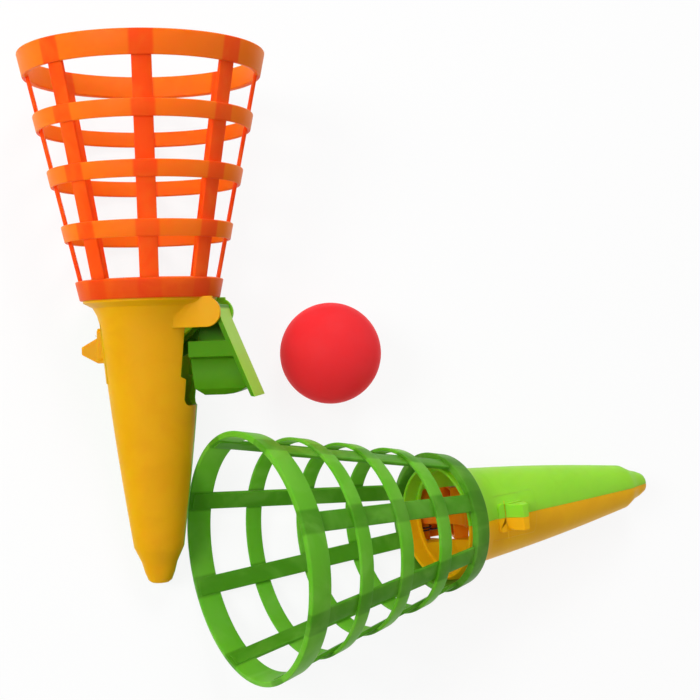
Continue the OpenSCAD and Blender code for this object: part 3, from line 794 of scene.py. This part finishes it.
# %% [markdown]
# The ball is a light hollow shell of soft plastic: two round skins, the outer one fine enough to look
# round from close by, and the inner one turned to face the hollow. In the photograph it looks almost
# flat, so it gets a stronger glow than the shells: painted light that lightens its shaded side.

# %% Ball
BALL_RED = ("CE282D", "C42226")
BALL_ROUGHNESS = 0.5
BALL_WALL = 0.9 * MM
OUTER_SPLITS = 6
INNER_SPLITS = 4


def make_ball():
    """Makes the ball's two skins where its solid lies, and dresses them."""
    low, high = [Vector(corner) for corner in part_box("ball")]
    radius = (high.z - low.z) / 2
    form = bmesh.new()
    bmesh.ops.create_icosphere(form, subdivisions=OUTER_SPLITS, radius=radius)
    inner = bmesh.ops.create_icosphere(form, subdivisions=INNER_SPLITS, radius=radius - BALL_WALL)
    inner_faces = {face for vertex in inner["verts"] for face in vertex.link_faces}
    bmesh.ops.reverse_faces(form, faces=list(inner_faces))
    for face in form.faces:
        face.smooth = True
    mesh = bpy.data.meshes.new("ball skin")
    form.to_mesh(mesh)
    form.free()
    place = Matrix.Translation((low + high) / 2)
    # Painted light: the ball glows strongly, which flattens its shading.
    mesh.materials.append(plastic("ball red", place, *BALL_RED, BALL_ROUGHNESS,
                                  flow_amount=0.2, sink=0.05, passing=0.45))
    piece = bpy.data.objects.new("ball_skin", mesh)
    scene.collection.objects.link(piece)
    settle(piece, place, "loose_ball", "ball")


make_ball()

# %% [markdown]
# The return spring is one steel wire: a short leg under the flange, two and a quarter turns round the
# hub, and a leg down the back of the finger plate. A tree of Geometry Nodes sweeps a round wire along
# any path of points, so the same tree serves both springs.

# %% Geometry Nodes: a wire along a path


def make_wire_tree():
    """The tree that turns a line of points into a round wire with closed ends."""
    tree, start, end = new_group(
        "Wire", "GeometryNodeTree",
        [("Geometry", "NodeSocketGeometry", None), ("Wire Radius", "NodeSocketFloat", 0.0003),
         ("Steps Round", "NodeSocketInt", 16), ("Material", "NodeSocketMaterial", None)],
        [("Geometry", "NodeSocketGeometry")])
    sizes = start.outputs
    path = add(tree, "GeometryNodeMeshToCurve", None, {"Mesh": sizes["Geometry"]})
    profile = add(tree, "GeometryNodeCurvePrimitiveCircle", {"mode": "RADIUS"},
                  {"Resolution": sizes["Steps Round"], "Radius": sizes["Wire Radius"]})
    swept = add(tree, "GeometryNodeCurveToMesh", None,
                {"Curve": path.outputs[0], "Profile Curve": profile.outputs[0], "Fill Caps": True})
    real = add(tree, "GeometryNodeRealizeInstances", None, {0: swept.outputs[0]})
    smooth = add(tree, "GeometryNodeSetShadeSmooth", None, {"Geometry": real.outputs[0]})
    dressed = add(tree, "GeometryNodeSetMaterial", None,
                  {"Geometry": smooth.outputs[0], "Material": sizes["Material"]})
    tree.links.new(dressed.outputs[0], end.inputs[0])
    return tree


WIRE_TREE = make_wire_tree()
print("tree:", WIRE_TREE.name)

# %% [markdown]
# The path of the wire is a formula, in millimetres from the hinge. A squeezed trigger has wound its
# spring further, so the green launcher's coil gets those degrees more. The last leg is drawn turned by
# the same degrees, and the coil between the legs winds up along the pin.

# %% Make both springs
WIRE = 0.6
COIL_R = 2.45
COIL_TURNS = 2.25
COIL_PITCH = 1.1
COIL_START_Y = 4.6
STEPS_A_TURN = 40
LEG_FROM = (-3.4, 3.9)
LEG_BEND = (2.55, -2.2)
LEG_END = (4.72, -6.6)


def spring_path(wound):
    """The wire's middle line in the launcher's own frame, in millimetres from the hinge."""
    turned = math.radians(wound)
    sweep = 2 * math.pi * COIL_TURNS + turned
    steps = math.ceil(COIL_TURNS * STEPS_A_TURN)
    end_y = COIL_START_Y + COIL_PITCH * sweep / (2 * math.pi)
    path = [(LEG_FROM[0], COIL_START_Y, LEG_FROM[1])]
    for i in range(steps + 1):
        angle = math.pi / 2 - sweep * i / steps
        y = COIL_START_Y + (end_y - COIL_START_Y) * i / steps
        path.append((COIL_R * math.cos(angle), y, COIL_R * math.sin(angle)))
    cosine, sine = math.cos(turned), math.sin(turned)
    for x, z in (LEG_BEND, LEG_END):
        path.append((x * cosine + z * sine, end_y, z * cosine - x * sine))
    return path


for colour, wound in SQUEEZED.items():
    hinge_point = Vector((HINGE_X, 0, HINGE_Z))
    points = [Vector(point) * MM + hinge_point for point in spring_path(wound)]
    line = bpy.data.meshes.new(f"{colour} spring path")
    line.from_pydata(points, [(i, i + 1) for i in range(len(points) - 1)], [])
    wire = grow(f"{colour}_wire", WIRE_TREE,
                {"Wire Radius": WIRE / 2 * MM, "Material": SPRING_STEEL}, line)
    settle(wire, PLACES[colour], f"{colour}_launcher", f"{colour}_spring", f"{colour}_lever")

# %% [markdown]
# The stage is a plain pale floor, as in a studio. The photograph's ground is pure white, so the floor
# shines white by itself to whoever looks at it, and only keeps a little of the toy's shadow. What it
# shows to the camera puts no more light on the toy.

# %% Floor
FLOOR_REACH = 6.0
FLOOR_COLOUR = (0.93, 0.93, 0.93, 1)
FLOOR_ROUGHNESS = 0.9
FLOOR_GLOW = 0.88
WHITE = (1, 1, 1, 1)


def make_stage():
    """Makes the floor."""
    floor_mesh = bpy.data.meshes.new("floor")
    corners = [(-1, -1), (1, -1), (1, 1), (-1, 1)]
    floor_mesh.from_pydata([(x * FLOOR_REACH, y * FLOOR_REACH, 0) for x, y in corners],
                           [], [(0, 1, 2, 3)])
    floor = bpy.data.objects.new("floor", floor_mesh)
    scene.collection.objects.link(floor)
    material, tree, shader = start_material("pale floor")
    shader.inputs["Base Color"].default_value = FLOOR_COLOUR
    shader.inputs["Roughness"].default_value = FLOOR_ROUGHNESS
    glow = add(tree, "ShaderNodeEmission", None, {"Color": WHITE, "Strength": 1.0})
    rays = add(tree, "ShaderNodeLightPath")
    seen = calculate(tree, "MAXIMUM", rays.outputs["Is Camera Ray"], rays.outputs["Is Glossy Ray"])
    share = calculate(tree, "MULTIPLY", seen, FLOOR_GLOW)
    mixed = add(tree, "ShaderNodeMixShader", None, {0: share, 1: shader.outputs[0], 2: glow.outputs[0]})
    tree.links.new(mixed.outputs[0], tree.nodes["Material Output"].inputs["Surface"])
    floor_mesh.materials.append(material)


make_stage()
print("floor:", FLOOR_REACH * 2, "m across")

# %% [markdown]
# An even white world fills the shadows. One large lamp high on the left gives the shapes their light
# side, and a weaker one high beyond the orange rim lights what faces away from the first.

# %% World and lamps
WORLD_LIGHT = 0.38
LAMP_SIZE = 0.55
LAMP_AIM = Vector((0, 0, 0.03))
LAMPS = {"key": ((-1.05, 0.12, 0.92), 9.7), "fill": ((0.05, 1.05, 0.92), 7.4)}


def make_world():
    """Makes a world that looks white and lights the toy with a part of that."""
    world = bpy.data.worlds.new("studio")
    scene.world = world
    world.use_nodes = True
    tree = world.node_tree
    background = tree.nodes["Background"]
    rays = add(tree, "ShaderNodeLightPath")
    seen = calculate(tree, "MAXIMUM", rays.outputs["Is Camera Ray"], rays.outputs["Is Glossy Ray"])
    strength = add(tree, "ShaderNodeMapRange", None, {"Value": seen, 3: WORLD_LIGHT, 4: 1.0})
    tree.links.new(strength.outputs["Result"], background.inputs["Strength"])
    background.inputs["Color"].default_value = WHITE


def make_lamp(name, place, power):
    """Makes a round lamp at that place, turned towards the toy."""
    lamp_data = bpy.data.lights.new(name, "AREA")
    lamp_data.shape = "DISK"
    lamp_data.size = LAMP_SIZE
    lamp_data.energy = power
    lamp = bpy.data.objects.new(name, lamp_data)
    lamp.location = place
    lamp.rotation_euler = (LAMP_AIM - Vector(place)).to_track_quat("-Z", "Y").to_euler()
    scene.collection.objects.link(lamp)


make_world()
for lamp_name, (lamp_place, lamp_power) in LAMPS.items():
    make_lamp(lamp_name, lamp_place, lamp_power)
print("lamps:", ", ".join(LAMPS))

# %% [markdown]
# Last, the view layer is updated.

# %% Finish
bpy.context.view_layer.update()
